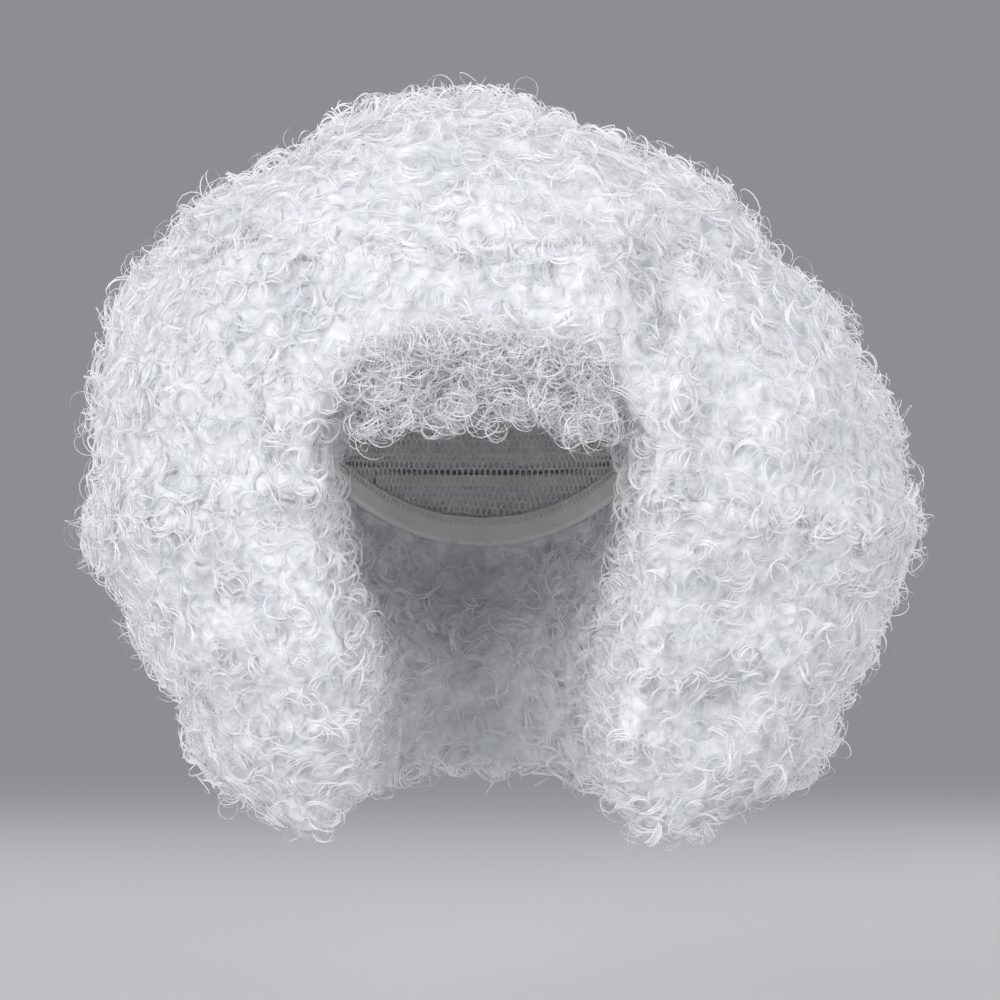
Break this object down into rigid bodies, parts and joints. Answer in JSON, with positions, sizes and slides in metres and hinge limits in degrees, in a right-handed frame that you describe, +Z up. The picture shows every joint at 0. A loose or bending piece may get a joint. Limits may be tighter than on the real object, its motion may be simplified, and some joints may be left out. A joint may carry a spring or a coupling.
{
  "type": "curly afro costume wig",
  "caption": "Full round costume wig of tightly curled hair on a stretch cap with a bound edge, open at the face and the neck.",
  "frame": {"origin": "inside top of the cap, where the crown of the head touches it", "axes": "+Z up, the face looks along -Y, +X to the right of someone who looks at the face"},
  "size_m": [0.4145, 0.331, 0.379],
  "materials": {
    "hair": "glossy white synthetic fibre, crimped into tight ring curls",
    "cap_net": "matt open stretch net",
    "edge_band": "matt ribbed elastic"
  },
  "bodies": {
    "root": {"cap_net": "cap_net", "edge_band": "edge_band", "crown_hair": "hair", "fringe_hair": "hair", "right_upper_hair": "hair", "back_upper_hair": "hair", "left_upper_hair": "hair", "right_lower_hair": "hair", "back_lower_hair": "hair", "left_lower_hair": "hair"}
  },
  "joints": []
}
